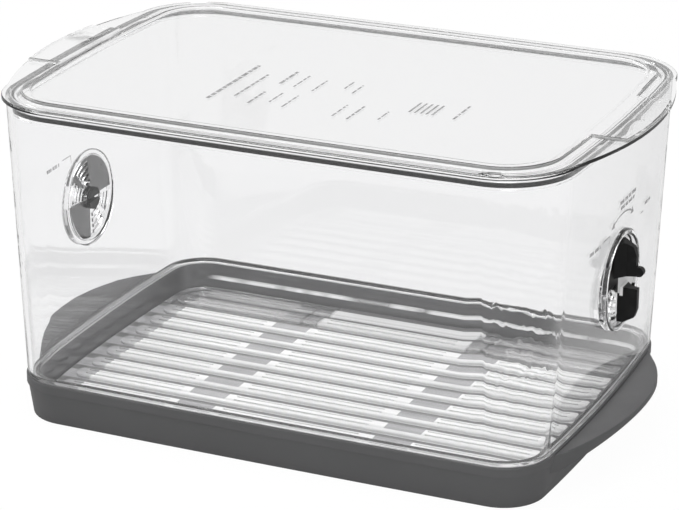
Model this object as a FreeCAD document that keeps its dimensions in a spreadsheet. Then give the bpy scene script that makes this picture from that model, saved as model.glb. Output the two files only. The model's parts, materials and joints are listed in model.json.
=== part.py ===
import FreeCAD, Part
import math
import os

import Sketcher

# Produce keeper: a clear box that nests in a grey tray, with a ribbed rack on its floor, a sealed lid
# that lifts off, and a turning air-vent dial in each short end. Millimetres. +X runs along the box, +Y to
# the back and +Z up. The origin is on the surface it stands on, under the middle of the box.

Vector = FreeCAD.Vector

# Tolerance for edges that lie on a plane, and how far inside the sides and the bowed ends of an outline an
# edge still counts as part of it.
NEAR = 0.001
SIDE_MARGIN = 1.0
END_MARGIN = 3.0

SIZES = {
    # Outline of the box: the corner arcs and the slightly bowed ends and sides are tangent all round.
    "end_swing": 3.9,
    "side_swing": 0.6,
    "shoulder_half_length": 153.6,
    "shoulder_half_width": 104.6,
    "shoulder_corner": 26.3,
    "mouth_half_length": 161.4,
    "mouth_half_width": 111.0,
    "mouth_corner": 38.9,
    "box_wall": 2.5,
    # Heights above the surface the tray stands on.
    "tray_rim_height": 23.6,
    "bin_height": 179.4,
    "lid_rise": 3.8,
    # Grey tray.
    "foot_inset": 2.5,
    "tray_lip_height": 5.0,
    "tray_lip_proud": 0.7,
    "tray_floor": 2.6,
    "tray_rim_land": 3.6,
    "tray_floor_inset": 5.0,
    "foot_recess": 0.8,
    "foot_rail": 7.0,
    "tray_floor_round": 4.0,
    "handle_width": 21.5,
    "handle_half_span": 78.3,
    "handle_top_drop": 0.9,
    "handle_edge_rise": 4.0,
    "handle_root_thickness": 9.4,
    "handle_edge_thickness": 2.6,
    "handle_edge_round": 0.8,
    "foot_round": 1.2,
    "lip_round": 0.5,
    # Clear bin.
    "nest_clearance": 0.4,
    "nest_floor_gap": 0.3,
    "nest_wall": 2.4,
    "bin_floor": 2.4,
    "ledge_thickness": 2.4,
    "shoulder_round": 1.4,
    "ledge_round": 2.0,
    "nest_round": 4.6,
    "bin_floor_round": 3.0,
    # Ribbed rack.
    "rack_margin": 0.8,
    "rack_plate": 1.8,
    "rack_foot_height": 2.0,
    "rack_foot_width": 2.0,
    "rack_foot_inset": 3.6,
    "rack_row_pitch": 17.5,
    "rack_row_margin": 12.0,
    "rack_end_margin": 7.5,
    "rack_band_width": 20.0,
    "rack_middle_slits": 92.0,
    "rib_width": 13.0,
    "rib_height": 1.8,
    "rib_round": 0.9,
    "slit_width": 1.5,
    "slit_spacing": 4.4,
    "slit_end_margin": 6.0,
    # Clear lid.
    "flange_overhang": 2.3,
    "flange_thickness": 1.9,
    "lid_seat_gap": 0.3,
    "bead_inset": 10.2,
    "bead_width": 5.6,
    "pane_drop": 1.9,
    "pane_thickness": 2.2,
    "bead_round": 1.0,
    "flange_round": 0.6,
    "skirt_clearance": 0.6,
    "skirt_wall": 2.6,
    "skirt_depth": 6.8,
    "tab_half_span": 35.5,
    "tab_width": 11.5,
    "tab_inset": 0.3,
    "wing_half_span": 76.0,
    "wing_root_inset": 2.8,
    "tab_thickness": 2.9,
    # Soft seal in the groove of the lid's skirt.
    "groove_drop": 2.6,
    "groove_height": 2.6,
    "groove_depth": 1.4,
    "seal_clearance": 0.1,
    "seal_lip": 0.9,
    "seal_wall_gap": 0.3,
    # Vent seats in the short ends.
    "vent_height": 93.5,
    "vent_radius": 27.5,
    "vent_ring_wall": 3.2,
    "vent_ring_proud": 3.5,
    "vent_disc_drop": 3.3,
    "vent_disc": 2.3,
    "vent_ring_round": 0.9,
    "vent_bore": 5.3,
    "vent_slot_width": 2.1,
    "vent_slot_pitch": 3.5,
    "vent_slot_rows": 4,
    "vent_slot_first": 9.6,
    "vent_slot_swing": 34.0,
    "vent_slot_edge": 5.0,
    # Turning dials.
    "dial_gap": 0.3,
    "dial_radial_gap": 0.5,
    "dial_plate": 1.5,
    "dial_rim_width": 1.4,
    "dial_rim_height": 2.6,
    "dial_hub_radius": 7.2,
    "dial_shaft": 4.9,
    "dial_catch": 6.3,
    "dial_catch_length": 1.8,
    "dial_split": 2.4,
    "dial_fin_height": 9.4,
    "dial_fin_base": 11.0,
    "dial_fin_ridge": 3.4,
    "dial_fin_start": 4.2,
    "dial_fin_shoulder": 3.5,
    "dial_fin_bevel": 9.0,
    "dial_tip_length": 4.0,
    "dial_tip_radius": 2.5,
    "dial_dimple": 1.1,
    "dial_dimple_place": 20.4,
    "dial_dimple_depth": 0.7,
}

doc = FreeCAD.newDocument("produce_keeper")
sheet = doc.addObject("Spreadsheet::Sheet", "Sizes")
for row, (name, value) in enumerate(SIZES.items(), start=1):
    sheet.set(f"A{row}", name)
    sheet.set(f"B{row}", str(value))
    sheet.setAlias(f"B{row}", name)
doc.recompute()


def size(expression):
    """Value of an expression on the sheet's named sizes."""
    value = sheet.evalExpression(expression)
    return float(getattr(value, "Value", value))


def plane_of(body, role):
    """Origin plane of a body, found by its role."""
    return next(item for item in body.Origin.OriginFeatures if item.Role == role)


def new_sketch(body, name, role="XY_Plane", offset="0"):
    """Empty sketch on one of the body's origin planes, moved along that plane's normal."""
    sketch = body.newObject("Sketcher::SketchObject", name)
    sketch.AttachmentSupport = [(plane_of(body, role), "")]
    sketch.MapMode = "FlatFace"
    sketch.setExpression("AttachmentOffset.Base.z", offset)
    doc.recompute()
    return sketch


def bind(sketch, name, constraint, expression):
    """Add a constraint whose value follows the sheet."""
    index = sketch.addConstraint(constraint)
    sketch.renameConstraint(index, name)
    sketch.setExpression(f"Constraints.{name}", expression)


def arc(x, y, radius, start, end):
    circle = Part.Circle(Vector(x, y, 0), Vector(0, 0, 1), radius)
    return Part.ArcOfCircle(circle, start, end)


def add_outline(sketch, half_length, half_width, corner, tag=""):
    """Closed outline of eight tangent arcs: two bowed ends, two bowed sides and four corners.

    With p and q the tangents of half the end swing and half the side swing, the corner centres are at
    ((L - r) - p (W - r)) / (1 - p q) along X and ((W - r) - q (L - r)) / (1 - p q) along Y."""
    long_run = f"(({half_length}) - ({corner}))"
    wide_run = f"(({half_width}) - ({corner}))"
    end_tan = "tan(Sizes.end_swing / 2)"
    side_tan = "tan(Sizes.side_swing / 2)"
    centre_x = f"({long_run} - {end_tan} * {wide_run}) / (1 - {end_tan} * {side_tan})"
    centre_y = f"({wide_run} - {side_tan} * {long_run}) / (1 - {end_tan} * {side_tan})"
    end_radius = f"({corner}) + ({centre_y}) / sin(Sizes.end_swing)"
    side_radius = f"({corner}) + ({centre_x}) / sin(Sizes.side_swing)"
    x, y, r = size(centre_x), size(centre_y), size(corner)
    end_r, side_r = size(end_radius), size(side_radius)
    end_turn = math.radians(SIZES["end_swing"])
    side_turn = math.pi / 2 - math.radians(SIZES["side_swing"])
    end_x = size(half_length) - end_r
    side_y = size(half_width) - side_r
    half_turn = math.pi
    arcs = [
        arc(end_x, 0, end_r, -end_turn, end_turn),
        arc(x, y, r, end_turn, side_turn),
        arc(0, side_y, side_r, side_turn, half_turn - side_turn),
        arc(-x, y, r, half_turn - side_turn, half_turn - end_turn),
        arc(-end_x, 0, end_r, half_turn - end_turn, half_turn + end_turn),
        arc(-x, -y, r, half_turn + end_turn, half_turn + side_turn),
        arc(0, -side_y, side_r, half_turn + side_turn, 2 * half_turn - side_turn),
        arc(x, -y, r, -side_turn, -end_turn),
    ]
    edges = [sketch.addGeometry(item, False) for item in arcs]
    for here, after in zip(edges, edges[1:] + edges[:1]):
        sketch.addConstraint(Sketcher.Constraint("Tangent", here, 2, after, 1))
    corners = ((edges[1], 1, 1), (edges[3], -1, 1), (edges[5], -1, -1), (edges[7], 1, -1))
    for edge, x_sign, y_sign in corners:
        label = f"{'right' if x_sign > 0 else 'left'}_{'back' if y_sign > 0 else 'front'}{tag}"
        along = (-1, 1, edge, 3) if x_sign > 0 else (edge, 3, -1, 1)
        across = (-1, 1, edge, 3) if y_sign > 0 else (edge, 3, -1, 1)
        bind(sketch, f"{label}_x", Sketcher.Constraint("DistanceX", *along, x), centre_x)
        bind(sketch, f"{label}_y", Sketcher.Constraint("DistanceY", *across, y), centre_y)
        bind(sketch, f"{label}_radius", Sketcher.Constraint("Radius", edge, r), corner)
    for edge, label in ((edges[0], "right_end"), (edges[4], "left_end")):
        bind(sketch, f"{label}{tag}", Sketcher.Constraint("Radius", edge, end_r), end_radius)
    for edge, label in ((edges[2], "back_side"), (edges[6], "front_side")):
        bind(sketch, f"{label}{tag}", Sketcher.Constraint("Radius", edge, side_r), side_radius)


def outline_sketch(body, name, height, half_length, half_width, corner):
    sketch = new_sketch(body, name, "XY_Plane", height)
    add_outline(sketch, half_length, half_width, corner)
    return sketch


def add_polygon(sketch, points, tag=""):
    """Closed run of straight edges. Each point is a pair of expressions and is bound to the sheet."""
    places = [Vector(size(x), size(y), 0) for x, y in points]
    edges = []
    for here, after in zip(places, places[1:] + places[:1]):
        edges.append(sketch.addGeometry(Part.LineSegment(here, after), False))
    for here, after in zip(edges, edges[1:] + edges[:1]):
        sketch.addConstraint(Sketcher.Constraint("Coincident", here, 2, after, 1))
    for edge, place, (x, y) in zip(edges, places, points):
        for letter, value, expression in (("X", place.x, x), ("Y", place.y, y)):
            constraint = Sketcher.Constraint(f"Distance{letter}", edge, 1, value)
            bind(sketch, f"{tag}point_{edge}_{letter}", constraint, expression)


def both_ends(sketch, points, tag=""):
    """The same closed polygon on the right and, mirrored, on the left."""
    for name, sign in (("right", ""), ("left", "-")):
        add_polygon(sketch, [(f"{sign}({x})", y) for x, y in points], f"{tag}{name}_")


def add_winged_bar(sketch, reach, root, half_span):
    """Bar across the part whose two ends are arcs from the root through the reach and back."""
    far, near, half = size(reach), size(root), size(half_span)
    right = Part.Arc(Vector(near, -half, 0), Vector(far, 0, 0), Vector(near, half, 0))
    left = Part.Arc(Vector(-near, half, 0), Vector(-far, 0, 0), Vector(-near, -half, 0))
    edges = [
        sketch.addGeometry(right, False),
        sketch.addGeometry(Part.LineSegment(Vector(near, half, 0), Vector(-near, half, 0)), False),
        sketch.addGeometry(left, False),
        sketch.addGeometry(Part.LineSegment(Vector(-near, -half, 0), Vector(near, -half, 0)), False),
    ]
    for here, after in zip(edges, edges[1:] + edges[:1]):
        sketch.addConstraint(Sketcher.Constraint("Coincident", here, 2, after, 1))
    rise = f"(({reach}) - ({root}))"
    radius = f"(pow({half_span}; 2) + pow({rise}; 2)) / (2 * {rise})"
    for edge, label in ((edges[0], "right"), (edges[2], "left")):
        bind(sketch, f"{label}_radius", Sketcher.Constraint("Radius", edge, size(radius)), radius)
    for edge, label, sign in ((edges[1], "back", 1), (edges[3], "front", -1)):
        for point, x_sign in ((1, sign), (2, -sign)):
            for letter, place, turn in (("X", root, x_sign), ("Y", half_span, sign)):
                target = f"{turn} * ({place})"
                constraint = Sketcher.Constraint(f"Distance{letter}", edge, point, size(target))
                bind(sketch, f"{label}_{point}_{letter}", constraint, target)


def add_stadium(sketch, start, end, middle, radius, tag):
    """Long slot outline along X with a half circle at each end."""
    x0, x1, y, r = size(start), size(end), size(middle), size(radius)
    quarter = math.pi / 2
    right = sketch.addGeometry(arc(x1 - r, y, r, -quarter, quarter), False)
    top = sketch.addGeometry(Part.LineSegment(Vector(x1 - r, y + r, 0), Vector(x0 + r, y + r, 0)), False)
    left = sketch.addGeometry(arc(x0 + r, y, r, quarter, 3 * quarter), False)
    low = sketch.addGeometry(Part.LineSegment(Vector(x0 + r, y - r, 0), Vector(x1 - r, y - r, 0)), False)
    for here, after in ((right, top), (top, left), (left, low), (low, right)):
        sketch.addConstraint(Sketcher.Constraint("Tangent", here, 2, after, 1))
    sketch.addConstraint(Sketcher.Constraint("Horizontal", top))
    bind(sketch, f"{tag}_radius", Sketcher.Constraint("Radius", right, r), radius)
    bind(sketch, f"{tag}_end", Sketcher.Constraint("DistanceX", right, 3, x1 - r), f"{end} - {radius}")
    bind(sketch, f"{tag}_start", Sketcher.Constraint("DistanceX", left, 3, x0 + r), f"{start} + {radius}")
    bind(sketch, f"{tag}_row", Sketcher.Constraint("DistanceY", right, 3, y), middle)


def add_circle(sketch, radius, tag):
    circle = sketch.addGeometry(Part.Circle(Vector(0, 0, 0), Vector(0, 0, 1), size(radius)), False)
    sketch.addConstraint(Sketcher.Constraint("Coincident", circle, 3, -1, 1))
    bind(sketch, f"{tag}_radius", Sketcher.Constraint("Radius", circle, size(radius)), radius)


def add_quarter(sketch, outer, inner, tag):
    """Quarter disc or quarter ring between the sketch's up and left directions."""
    big, small = size(outer), size(inner)
    quarter = math.pi / 2
    rim = sketch.addGeometry(arc(0, 0, big, quarter, 2 * quarter), False)
    sketch.addConstraint(Sketcher.Constraint("Coincident", rim, 3, -1, 1))
    bind(sketch, f"{tag}_outer", Sketcher.Constraint("Radius", rim, big), outer)
    left = sketch.addGeometry(Part.LineSegment(Vector(-big, 0, 0), Vector(-small, 0, 0)), False)
    top = sketch.addGeometry(Part.LineSegment(Vector(0, small, 0), Vector(0, big, 0)), False)
    sketch.addConstraint(Sketcher.Constraint("Coincident", rim, 2, left, 1))
    sketch.addConstraint(Sketcher.Constraint("Coincident", rim, 1, top, 2))
    if small > 0:
        bore = sketch.addGeometry(arc(0, 0, small, quarter, 2 * quarter), False)
        sketch.addConstraint(Sketcher.Constraint("Coincident", bore, 3, -1, 1))
        bind(sketch, f"{tag}_inner", Sketcher.Constraint("Radius", bore, small), inner)
        sketch.addConstraint(Sketcher.Constraint("Coincident", left, 2, bore, 2))
        sketch.addConstraint(Sketcher.Constraint("Coincident", top, 1, bore, 1))
    else:
        sketch.addConstraint(Sketcher.Constraint("Coincident", left, 2, top, 1))
        sketch.addConstraint(Sketcher.Constraint("Coincident", left, 2, -1, 1))
    sketch.addConstraint(Sketcher.Constraint("Horizontal", left))
    sketch.addConstraint(Sketcher.Constraint("Vertical", top))


def body_part(name):
    body = doc.addObject("PartDesign::Body", name)
    body.Label = name
    return body


def loft(body, kind, name, low, high):
    """Ruled loft between two outline sketches, added to or taken from the body."""
    feature = body.newObject(f"PartDesign::{kind}Loft", name)
    feature.Profile = low
    feature.Sections = [high]
    feature.Ruled = True
    doc.recompute()
    return feature


def extrude(body, kind, name, sketch, length, reverse=False, both=False):
    """Pad or pocket of a sketch by a length that follows the sheet."""
    feature = body.newObject(f"PartDesign::{kind}", name)
    feature.Profile = sketch
    feature.setExpression("Length", length)
    feature.Reversed = reverse
    feature.Midplane = both
    doc.recompute()
    return feature


def revolve(body, kind, name, sketch, height):
    """Full turn of a profile about the line along X at a height."""
    z = size(height)
    axis = sketch.addGeometry(Part.LineSegment(Vector(0, z, 0), Vector(1, z, 0)), True)
    sketch.addConstraint(Sketcher.Constraint("Horizontal", axis))
    bind(sketch, "axis_height", Sketcher.Constraint("DistanceY", axis, 1, z), height)
    feature = body.newObject(f"PartDesign::{kind}", name)
    feature.Profile = sketch
    feature.ReferenceAxis = (sketch, ["Axis0"])
    feature.Angle = 360
    doc.recompute()
    return feature


def edges_where(feature, test):
    edges = enumerate(feature.Shape.Edges, start=1)
    return [f"Edge{index}" for index, edge in edges if test(edge.BoundBox)]


def level_edges(feature, height, keep=lambda box: True):
    """Edges that lie flat at a height."""
    z = size(height)

    def level(box):
        return abs(box.ZMin - z) < NEAR and abs(box.ZMax - z) < NEAR and keep(box)

    return edges_where(feature, level)


def beyond(half_length, half_width):
    """Test for edges that reach past a half length or a half width of the outline."""
    end = size(half_length) - END_MARGIN
    side = size(half_width) - SIDE_MARGIN
    return lambda box: max(box.XMax, -box.XMin) > end or max(box.YMax, -box.YMin) > side


def fillet(body, name, edges, radius):
    base = body.Tip
    feature = body.newObject("PartDesign::Fillet", name)
    feature.Base = (base, edges)
    feature.setExpression("Radius", radius)
    doc.recompute()
    return feature


def pattern_turn(body, name, originals, about, count=2):
    """Copies of features turned about an origin axis of the body."""
    feature = body.newObject("PartDesign::PolarPattern", name)
    feature.Originals = originals
    feature.Axis = (plane_of(body, about), [""])
    feature.Angle = 360
    feature.Occurrences = count
    body.Tip = feature
    doc.recompute()
    return feature


def row_pattern(body, name, originals, sketch, rows):
    """Rows of the rack, one pitch apart along Y."""
    feature = body.newObject("PartDesign::LinearPattern", name)
    feature.Originals = originals
    feature.Direction = (sketch, ["V_Axis"])
    feature.setExpression("Length", f"({rows} - 1) * Sizes.rack_row_pitch")
    feature.setExpression("Occurrences", rows)
    body.Tip = feature
    doc.recompute()
    return feature


def cylinder(name, radius, length, x="0", turn=0.0, swing=None):
    """Cylinder along X on the vents' axis, or a sector of one that starts at an angle from +Y."""
    item = doc.addObject("Part::Cylinder", name)
    item.setExpression("Radius", radius)
    item.setExpression("Height", length)
    if swing is not None:
        item.setExpression("Angle", swing)
    along_x = FreeCAD.Rotation(Vector(0, 1, 0), Vector(0, 0, 1), Vector(1, 0, 0), "ZXY")
    spin = along_x.multiply(FreeCAD.Rotation(Vector(0, 0, 1), turn))
    item.Placement = FreeCAD.Placement(Vector(0, 0, 0), spin)
    item.setExpression("Placement.Base.x", x)
    item.setExpression("Placement.Base.z", "Sizes.vent_height")
    return item


def fused(name, items):
    joined = doc.addObject("Part::MultiFuse", name)
    joined.Shapes = items
    return joined


def boolean(kind, name, base, tool):
    result = doc.addObject(f"Part::{kind}", name)
    result.Base = base
    result.Tool = tool
    return result


def shoulder(inset):
    """Half length, half width and corner radius of the box at its shoulder, moved inwards by an inset."""
    return (
        f"(Sizes.shoulder_half_length - ({inset}))",
        f"(Sizes.shoulder_half_width - ({inset}))",
        f"(Sizes.shoulder_corner - ({inset}))",
    )


def mouth(inset):
    """Half length, half width and corner radius of the box at its mouth, moved inwards by an inset."""
    return (
        f"(Sizes.mouth_half_length - ({inset}))",
        f"(Sizes.mouth_half_width - ({inset}))",
        f"(Sizes.mouth_corner - ({inset}))",
    )


def wall_outline(height, inset):
    """Half length, half width and corner radius of the box wall at a height, moved inwards by an inset."""
    start = "(Sizes.tray_rim_height + Sizes.ledge_thickness)"
    share = f"(({height}) - {start}) / (Sizes.bin_height - {start})"

    def grown(low, high):
        return f"(Sizes.{low} + (Sizes.{high} - Sizes.{low}) * {share} - ({inset}))"

    return (
        grown("shoulder_half_length", "mouth_half_length"),
        grown("shoulder_half_width", "mouth_half_width"),
        grown("shoulder_corner", "mouth_corner"),
    )


TRAY_CAVITY = "Sizes.tray_rim_land"
CAVITY_SLOPE = (
    "atan((Sizes.tray_floor_inset - Sizes.tray_rim_land) / (Sizes.tray_rim_height - Sizes.tray_floor))"
)
NEST_TOP_INSET = "(Sizes.tray_rim_land + Sizes.nest_clearance)"
NEST_BOTTOM = "(Sizes.tray_floor + Sizes.nest_floor_gap)"
FLOOR_TOP = f"({NEST_BOTTOM} + Sizes.bin_floor)"
WALL_START = "(Sizes.tray_rim_height + Sizes.ledge_thickness)"
BIN_CAVITY_INSET = f"({NEST_TOP_INSET} + Sizes.nest_wall)"
LID_TOP = "(Sizes.bin_height + Sizes.lid_rise)"
HANDLE_REACH = "(Sizes.shoulder_half_length + Sizes.handle_width)"
HANDLE_TOP = "(Sizes.tray_rim_height - Sizes.handle_top_drop)"
HANDLE_EDGE_TOP = f"({HANDLE_TOP} + Sizes.handle_edge_rise)"
HANDLE_UNDERSIDE = f"({HANDLE_TOP} - Sizes.handle_root_thickness)"
HANDLE_EDGE_UNDERSIDE = f"({HANDLE_EDGE_TOP} - Sizes.handle_edge_thickness)"
RING_FACE = f"({wall_outline('Sizes.vent_height', '0')[0]} + Sizes.vent_ring_proud)"
DISC_FACE = f"({RING_FACE} - Sizes.vent_disc_drop)"
DISC_BACK = f"({DISC_FACE} - Sizes.vent_disc)"
GROOVE_LOW = "(Sizes.bin_height + Sizes.lid_seat_gap - Sizes.groove_drop - Sizes.groove_height)"


def base_tray():
    """Grey tray: tapered wall, two wing handles that rise outwards, a proud lip, a hollow and a foot rail."""
    body = body_part("base_tray")
    lip_start = "(Sizes.tray_rim_height - Sizes.tray_lip_height)"
    foot = outline_sketch(body, "foot_outline", "0", *shoulder("Sizes.foot_inset"))
    wall = extrude(body, "Pad", "tray_wall", foot, lip_start)
    wall.setExpression("TaperAngle", f"atan(Sizes.foot_inset / {lip_start})")
    plan = new_sketch(body, "handle_plan", "XY_Plane", HANDLE_UNDERSIDE)
    add_winged_bar(plan, HANDLE_REACH, "(Sizes.shoulder_half_length - Sizes.tray_rim_land)",
                   "Sizes.handle_half_span")
    extrude(body, "Pad", "handles", plan, f"{HANDLE_EDGE_TOP} - {HANDLE_UNDERSIDE}")
    wall_x = "(Sizes.shoulder_half_length + Sizes.tray_lip_proud)"
    past_x = f"(2 * {HANDLE_REACH} - Sizes.shoulder_half_length)"
    slopes = new_sketch(body, "handle_slopes", "XZ_Plane")
    past_top = f"({HANDLE_TOP} + 2 * Sizes.handle_edge_rise)"
    above = f"({past_top} + Sizes.tray_lip_height)"
    add_polygon(slopes, [
        (f"-{wall_x}", HANDLE_TOP),
        (wall_x, HANDLE_TOP),
        (past_x, past_top),
        (past_x, above),
        (f"-{past_x}", above),
        (f"-{past_x}", past_top),
    ], "top_")
    both_ends(slopes, [
        (wall_x, HANDLE_UNDERSIDE),
        (past_x, f"{HANDLE_UNDERSIDE} + 2 * ({HANDLE_EDGE_UNDERSIDE} - {HANDLE_UNDERSIDE})"),
        (past_x, "Sizes.tray_floor"),
        (wall_x, "Sizes.tray_floor"),
    ], "under_")
    extrude(body, "Pocket", "handle_slope_cut", slopes, "2 * Sizes.shoulder_half_width", both=True)
    lip = outline_sketch(body, "lip_outline", lip_start, *shoulder("-Sizes.tray_lip_proud"))
    extrude(body, "Pad", "tray_lip", lip, "Sizes.tray_lip_height")
    hollow = outline_sketch(body, "hollow_outline", "Sizes.tray_rim_height", *shoulder(TRAY_CAVITY))
    cut = extrude(body, "Pocket", "tray_hollow", hollow, "Sizes.tray_rim_height - Sizes.tray_floor")
    cut.setExpression("TaperAngle", f"-{CAVITY_SLOPE}")
    doc.recompute()
    rail = shoulder("Sizes.foot_inset + Sizes.foot_rail")
    recess = outline_sketch(body, "foot_recess_outline", "0", *rail)
    extrude(body, "Pocket", "foot_recess", recess, "Sizes.foot_recess", reverse=True)
    return body


def tray_rounds(body):
    """Rounds on the tray: inside its floor, round its foot and lip, and along the handles' outer edges."""
    fillet(body, "tray_floor_round", level_edges(body.Tip, "Sizes.tray_floor"), "Sizes.tray_floor_round")
    foot_end = "Sizes.shoulder_half_length - Sizes.foot_inset"
    on_foot = beyond(foot_end, "Sizes.shoulder_half_width - Sizes.foot_inset")
    fillet(body, "foot_round", level_edges(body.Tip, "0", on_foot), "Sizes.foot_round")
    fillet(body, "lip_round", level_edges(body.Tip, "Sizes.tray_rim_height"), "Sizes.lip_round")
    reach = size(HANDLE_REACH) - SIDE_MARGIN
    outer = edges_where(body.Tip, lambda box: max(box.XMax, -box.XMin) > reach and box.YLength > reach / 2)
    fillet(body, "handle_round", outer, "Sizes.handle_edge_round")


def bin_body():
    """Clear bin before its vent slots: a nest that drops into the tray, a shoulder and a flared wall."""
    body = body_part("bin_moulding")
    nest = outline_sketch(body, "nest_outline", "Sizes.tray_rim_height", *shoulder(NEST_TOP_INSET))
    nest_depth = f"(Sizes.tray_rim_height - {NEST_BOTTOM})"
    lower = extrude(body, "Pad", "nest", nest, nest_depth, reverse=True)
    lower.setExpression("TaperAngle", f"-{CAVITY_SLOPE}")
    slab = outline_sketch(body, "shoulder_outline", "Sizes.tray_rim_height", *shoulder("0"))
    extrude(body, "Pad", "shoulder", slab, "Sizes.ledge_thickness")
    fillet(body, "nest_round", level_edges(body.Tip, NEST_BOTTOM), "Sizes.nest_round")
    outside = beyond("Sizes.shoulder_half_length", "Sizes.shoulder_half_width")
    fillet(body, "shoulder_round", level_edges(body.Tip, "Sizes.tray_rim_height", outside),
           "Sizes.shoulder_round")
    low = outline_sketch(body, "wall_foot", WALL_START, *wall_outline(WALL_START, "0"))
    high = outline_sketch(body, "wall_top", "Sizes.bin_height", *wall_outline("Sizes.bin_height", "0"))
    loft(body, "Additive", "wall", low, high)
    inner = "(Sizes.mouth_half_length / 2)"
    boss = new_sketch(body, "vent_boss_profile", "XZ_Plane")
    both_ends(boss, [
        (inner, "Sizes.vent_height"),
        (RING_FACE, "Sizes.vent_height"),
        (RING_FACE, "Sizes.vent_height + Sizes.vent_radius"),
        (inner, "Sizes.vent_height + Sizes.vent_radius"),
    ])
    revolve(body, "Revolution", "vent_boss", boss, "Sizes.vent_height")
    low = outline_sketch(body, "cavity_foot", WALL_START, *wall_outline(WALL_START, "Sizes.box_wall"))
    high = outline_sketch(body, "cavity_top", "Sizes.bin_height",
                          *wall_outline("Sizes.bin_height", "Sizes.box_wall"))
    loft(body, "Subtractive", "cavity", low, high)
    nest = outline_sketch(body, "nest_cavity_outline", "Sizes.tray_rim_height", *shoulder(BIN_CAVITY_INSET))
    cut = extrude(body, "Pocket", "nest_cavity", nest, f"Sizes.tray_rim_height - {FLOOR_TOP}")
    cut.setExpression("TaperAngle", f"-{CAVITY_SLOPE}")
    doc.recompute()
    throat = outline_sketch(body, "throat_outline", WALL_START, *shoulder(BIN_CAVITY_INSET))
    extrude(body, "Pocket", "throat", throat, "Sizes.ledge_thickness")
    fillet(body, "bin_floor_round", level_edges(body.Tip, FLOOR_TOP), "Sizes.bin_floor_round")
    wall_end = "Sizes.shoulder_half_length - Sizes.box_wall"
    on_wall = beyond(wall_end, "Sizes.shoulder_half_width - Sizes.box_wall")
    throat_edge = level_edges(body.Tip, WALL_START, lambda box: not on_wall(box))
    fillet(body, "ledge_round", throat_edge, "Sizes.ledge_round")
    seat = new_sketch(body, "vent_seat_profile", "XZ_Plane")
    recess = "(Sizes.vent_height + Sizes.vent_radius - Sizes.vent_ring_wall)"
    bore = "(Sizes.vent_height + Sizes.vent_bore)"
    past = f"({RING_FACE} + Sizes.box_wall)"
    before = f"({DISC_BACK} - 2 * Sizes.box_wall)"
    both_ends(seat, [
        (before, "Sizes.vent_height"),
        (past, "Sizes.vent_height"),
        (past, recess),
        (DISC_FACE, recess),
        (DISC_FACE, bore),
        (DISC_BACK, bore),
        (DISC_BACK, recess),
        (before, recess),
    ])
    revolve(body, "Groove", "vent_seat", seat, "Sizes.vent_height")
    face = size(RING_FACE)
    ring = edges_where(body.Tip, lambda box: box.XLength < NEAR and abs(abs(box.XMin) - face) < NEAR)
    fillet(body, "vent_ring_round", ring, "Sizes.vent_ring_round")
    return body


def bin_part(moulding):
    """The clear bin: the moulding with rings of arc slots cut in two quarters of each vent seat."""
    whole = f"2 * {RING_FACE}"
    start = f"-{RING_FACE}"
    rings = []
    for row in range(int(SIZES["vent_slot_rows"])):
        low = f"Sizes.vent_slot_first + {row} * Sizes.vent_slot_pitch"
        outer = cylinder(f"slot_row_{row}_outer", f"{low} + Sizes.vent_slot_width", whole, start)
        inner = cylinder(f"slot_row_{row}_inner", low, whole, start)
        rings.append(boolean("Cut", f"slot_row_{row}", outer, inner))
    wedges = []
    ends = (("right", f"{DISC_BACK} - Sizes.box_wall", 0), ("left", f"-{RING_FACE}", 90))
    depth = f"{RING_FACE} - {DISC_BACK} + Sizes.box_wall"
    edge_turn = size("Sizes.vent_slot_edge")
    starts = (edge_turn, 90 - edge_turn - size("Sizes.vent_slot_swing"))
    for end, place, first in ends:
        for quarter in (0, 180):
            for half, start_turn in enumerate(starts):
                turn = first + quarter + start_turn
                name = f"slot_{end}_{quarter}_{half}"
                wedge = cylinder(name, "Sizes.vent_radius", depth, place, turn, "Sizes.vent_slot_swing")
                wedges.append(wedge)
    slots = boolean("Common", "vent_slots", fused("slot_rows", rings), fused("slot_wedges", wedges))
    finished = boolean("Cut", "bin", moulding, slots)
    finished.Label = "bin"
    doc.recompute()
    return finished


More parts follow.
